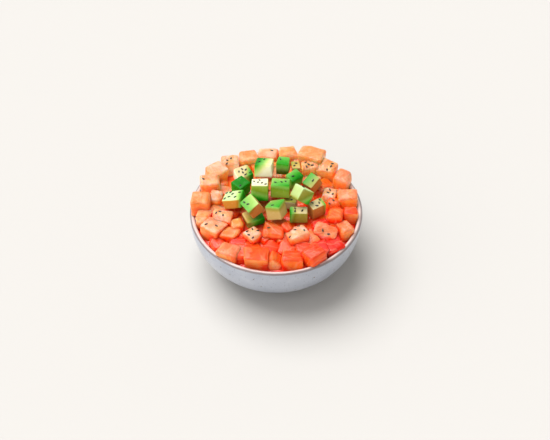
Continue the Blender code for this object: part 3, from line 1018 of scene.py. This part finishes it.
def add_specks(tree, place, body, scale, size, channel, few, tone):
    """Specks of one kind scattered over a colour."""
    cells = add_node(tree, "ShaderNodeTexVoronoi", Vector=place, Scale=scale)
    spot = ease(tree, cells.outputs["Distance"], *size, 1.0, 0.0)
    pick = add_node(tree, "ShaderNodeSeparateColor", Color=cells.outputs["Color"])
    picked = ease(tree, pick.outputs[channel], *few)
    return blend(tree, times(tree, spot, picked), body, paint(tone))


def new_finish(name):
    """A material with its Principled shader, and its node tree."""
    material = bpy.data.materials.new(name)
    material.use_nodes = True
    tree = material.node_tree
    return material, tree, tree.nodes["Principled BSDF"]


def speckled_glaze():
    """Pale blue-grey glaze with specks, a brown line under the lip and bare clay at the foot."""
    material, tree, shader = new_finish("speckled_glaze")
    place = add_node(tree, "ShaderNodeTexCoord").outputs["Object"]
    clouds = add_node(
        tree, "ShaderNodeTexNoise", Vector=place, Scale=38.0, Detail=4.0, Roughness=0.6)
    body = ramp(tree, clouds.outputs["Fac"], GLAZE_TONES)
    for specks in SPECKS:
        body = add_specks(tree, place, body, *specks)
    axes = add_node(tree, "ShaderNodeSeparateXYZ", Vector=place)
    wander = add_node(tree, "ShaderNodeTexNoise", Vector=place, Scale=70.0, Detail=3.0)
    shift = drift(tree, wander.outputs["Fac"], LINE_WANDER * MM)
    height = calculate(tree, "ADD", axes.outputs["Z"], shift)
    line = ease(tree, height, *(h * MM for h in LINE_HEIGHTS))
    body = blend(tree, line, body, paint(LINE_TONE))
    lip = ease(tree, height, *(h * MM for h in LIP_HEIGHTS))
    body = blend(tree, lip, body, paint(LIP_TONE))
    flat = add_node(tree, "ShaderNodeCombineXYZ", X=axes.outputs["X"], Y=axes.outputs["Y"])
    radius = add_node(tree, "ShaderNodeVectorMath", {"operation": "LENGTH"})
    tree.links.new(flat.outputs[0], radius.inputs[0])
    inside = ease(tree, radius.outputs["Value"], *(r * MM for r in INSIDE_RADII), 1.0, 0.0)
    high = ease(tree, axes.outputs["Z"], *(h * MM for h in INSIDE_HEIGHTS))
    body = blend(tree, times(tree, inside, high), body, paint(INSIDE_TONE))
    bare = ease(tree, height, *(h * MM for h in BARE_HEIGHTS), 1.0, 0.0)
    body = blend(tree, bare, body, paint(BARE_TONE))
    rough = calculate(tree, "ADD", times(tree, bare, BARE_ROUGHNESS), GLAZE_ROUGHNESS)
    varied = times(tree, clouds.outputs["Fac"], GLAZE_ROUGHNESS_VARIES)
    pits = add_node(tree, "ShaderNodeTexNoise", Vector=place, Scale=260.0, Detail=3.0)
    feed_all(
        tree, shader, Base_Color=body, Roughness=calculate(tree, "ADD", rough, varied),
        Coat_Weight=0.35, Coat_Roughness=0.12,
        Normal=bump(tree, pits.outputs["Fac"], strength=0.18, distance=0.0004))
    return material


def raw_salmon():
    """Wet raw flesh: the die's tones with their painted light and shade, soft pale lines of fat
    and fine fibres.
    """
    material, tree, shader = new_finish("raw_salmon")
    tones = add_node(tree, "ShaderNodeAttribute", {"attribute_name": "flesh"}).outputs["Color"]
    grain = add_node(tree, "ShaderNodeAttribute", {"attribute_name": "grain"}).outputs["Vector"]
    patches = add_node(
        tree, "ShaderNodeTexNoise", Vector=grain, Scale=0.16, Detail=3.0, Roughness=0.55)
    warm = blend(tree, 1.0, tones, paint(WARM_TONE), "MULTIPLY")
    flesh = blend(tree, ease(tree, patches.outputs["Fac"], *WARM_RANGE), warm, tones)
    spots = add_node(
        tree, "ShaderNodeTexNoise", Vector=grain, Scale=0.11, Detail=2.0, Roughness=0.5)
    share = times(tree, ease(tree, spots.outputs["Fac"], *GOLD_RANGE), GOLD_SHARE)
    gold = blend(tree, 1.0, flesh, paint(GOLD_TONE), "MULTIPLY")
    flesh = blend(tree, share, flesh, gold)
    bands = add_node(
        tree, "ShaderNodeTexWave", {"wave_type": "BANDS", "bands_direction": "X"},
        Vector=grain, Scale=0.075, Distortion=3.2, Detail=2.0, Detail_Scale=1.6)
    fat = ease(tree, bands.outputs["Fac"], *FAT_RANGE)
    flesh = blend(tree, times(tree, fat, FAT_SHARE), flesh, paint(FAT_TONE))
    stretch = add_node(tree, "ShaderNodeMapping", Vector=grain, Scale=FIBRE_STRETCH)
    fibres = add_node(
        tree, "ShaderNodeTexNoise", Vector=stretch.outputs[0], Scale=1.0, Detail=3.0)
    thin = ease(tree, fibres.outputs["Fac"], *FIBRE_RANGE)
    flesh = blend(tree, times(tree, thin, FIBRE_SHARE), flesh, paint(FIBRE_TONE))
    varied = times(tree, patches.outputs["Fac"], SALMON_ROUGHNESS_VARIES)
    relief = calculate(tree, "ADD", fibres.outputs["Fac"], times(tree, fat, FAT_RELIEF))
    feed_all(
        tree, shader, Base_Color=flesh, Subsurface_Weight=0.85,
        Subsurface_Radius=(1.0, 0.25, 0.10), Subsurface_Scale=0.004, Specular_IOR_Level=0.24,
        Roughness=calculate(tree, "ADD", varied, SALMON_ROUGHNESS),
        Coat_Weight=0.18, Coat_Roughness=0.08,
        Normal=bump(tree, relief, strength=0.40, distance=0.0009))
    return material


def avocado_flesh():
    """Buttery flesh, from cream through yellow-green to deep green where the skin was."""
    material, tree, shader = new_finish("avocado_flesh")
    place = add_node(tree, "ShaderNodeTexCoord").outputs["Object"]
    green = add_node(tree, "ShaderNodeAttribute", {"attribute_name": "green"}).outputs["Fac"]
    cast = add_node(tree, "ShaderNodeAttribute", {"attribute_name": "cast"})
    wander = add_node(tree, "ShaderNodeTexNoise", Vector=place, Scale=150.0, Detail=3.0)
    shift = drift(tree, wander.outputs["Fac"], GREEN_DRIFT)
    level = calculate(tree, "ADD", green, shift, clamp=True)
    flesh = ramp(tree, level, AVOCADO_TONES, "LINEAR")
    # Painted shade on the green faces that look up
    shaded = blend(tree, 1.0, flesh, paint(GREEN_TOP_SHADE), "MULTIPLY")
    above = times(tree, cast.outputs["Alpha"], ease(tree, level, *GREEN_TOP_SHADE_RANGE))
    flesh = blend(tree, above, flesh, shaded)
    # Casts laid over the cream flesh, partly browning and partly painted light and shade
    painted_casts = blend(tree, 1.0, flesh, cast.outputs["Color"], "MULTIPLY")
    flesh = blend(tree, ease(tree, level, *CAST_AND_LIGHT_RANGE), painted_casts, flesh)
    mottle = add_node(tree, "ShaderNodeTexNoise", Vector=place, Scale=420.0, Detail=4.0)
    light = blend(tree, 1.0, flesh, paint(MOTTLE_TONE), "SCREEN")
    soft = times(tree, ease(tree, mottle.outputs["Fac"], *MOTTLE_RANGE), MOTTLE_SHARE)
    varied = times(tree, mottle.outputs["Fac"], AVOCADO_ROUGHNESS_VARIES)
    feed_all(
        tree, shader, Base_Color=blend(tree, soft, flesh, light), Specular_IOR_Level=0.12,
        Subsurface_Weight=0.15, Subsurface_Radius=(0.8, 1.0, 0.3), Subsurface_Scale=0.0025,
        Roughness=calculate(tree, "ADD", varied, AVOCADO_ROUGHNESS),
        Normal=bump(tree, mottle.outputs["Fac"], strength=0.25, distance=0.0003))
    return material


def black_sesame():
    """Black seed coat with a faint brown cast."""
    material, tree, shader = new_finish("black_sesame")
    place = add_node(tree, "ShaderNodeTexCoord").outputs["Object"]
    coat = add_node(tree, "ShaderNodeTexNoise", Vector=place, Scale=900.0, Detail=3.0)
    feed_all(
        tree, shader, Base_Color=ramp(tree, coat.outputs["Fac"], SESAME_TONES), Roughness=0.42,
        Normal=bump(tree, coat.outputs["Fac"], strength=0.4, distance=0.0002))
    return material


# Studio


def add_camera():
    """The camera of the photograph's view."""
    elevation = math.radians(CAMERA_ELEVATION)
    back = Vector((0.0, -math.cos(elevation), math.sin(elevation)))
    camera = bpy.data.objects.new("camera", bpy.data.cameras.new("camera"))
    camera.data.lens = CAMERA_LENS
    camera.data.clip_start = CAMERA_NEAR
    camera.location = (Vector(CAMERA_TARGET) + back * CAMERA_DISTANCE) * MM
    camera.rotation_euler = (-back).to_track_quat("-Z", "Y").to_euler()
    bpy.context.scene.collection.objects.link(camera)
    bpy.context.scene.camera = camera


def add_sun(name, towards, strength, softness):
    """Soft light from a direction."""
    sun = bpy.data.objects.new(name, bpy.data.lights.new(name, "SUN"))
    sun.data.energy = strength
    sun.data.angle = math.radians(softness)
    sun.rotation_euler = Vector(towards).to_track_quat("Z", "Y").to_euler()
    bpy.context.scene.collection.objects.link(sun)


def make_studio():
    """Pale floor, even light from all round, a soft key light from the back left and a fill."""
    scene = bpy.context.scene
    scene.view_settings.view_transform = "Standard"
    world = bpy.data.worlds.new("studio")
    world.use_nodes = True
    place = add_node(world.node_tree, "ShaderNodeTexCoord").outputs["Generated"]
    axes = add_node(world.node_tree, "ShaderNodeSeparateXYZ", Vector=place)
    high = ease(world.node_tree, axes.outputs["Z"], *DOME_HEIGHTS)
    overhead = (*(screen(BACKDROP) * DOME_SHARE), 1.0)
    dome = blend(world.node_tree, high, paint(BACKDROP), overhead)
    feed_all(world.node_tree, world.node_tree.nodes["Background"], Color=dome)
    scene.world = world
    add_sun("key_light", KEY_FROM, KEY_STRENGTH, KEY_SOFTNESS)
    add_sun("fill_light", FILL_FROM, FILL_STRENGTH, FILL_SOFTNESS)
    bpy.ops.mesh.primitive_plane_add(size=FLOOR_SIZE)
    floor = bpy.context.active_object
    floor.name = "floor"
    material, tree, shader = new_finish("pale_floor")
    colour = (*(screen(FLOOR_TINT) * FLOOR_WHITENESS), 1.0)
    feed_all(tree, shader, Base_Color=colour, Roughness=1.0, Specular_IOR_Level=0.0)
    floor.data.materials.append(material)


noise.seed_set(NOISE_SEED)
bpy.ops.object.select_all(action="DESELECT")
add_camera()
make_studio()

salmon_finish = raw_salmon()
seed = sesame_seed()
bowl = make_bowl(speckled_glaze())
core = make_core(salmon_finish)
salmon, salmon_seeds = make_salmon(seed, salmon_finish)
avocado, avocado_seeds = make_avocado(seed, avocado_flesh())
sesame = joined("sesame", salmon_seeds + avocado_seeds, black_sesame())
bpy.data.objects.remove(seed, do_unlink=True)

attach(bowl, "root")
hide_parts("bowl")
for piece in (core, salmon):
    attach(piece, "root")
    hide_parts("salmon")
for item, piece in zip(AVOCADO, avocado):
    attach(piece, "root")
    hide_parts(item.name)
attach(sesame, "root")
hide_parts("salmon", *(item.name for item in AVOCADO if item.seeds))
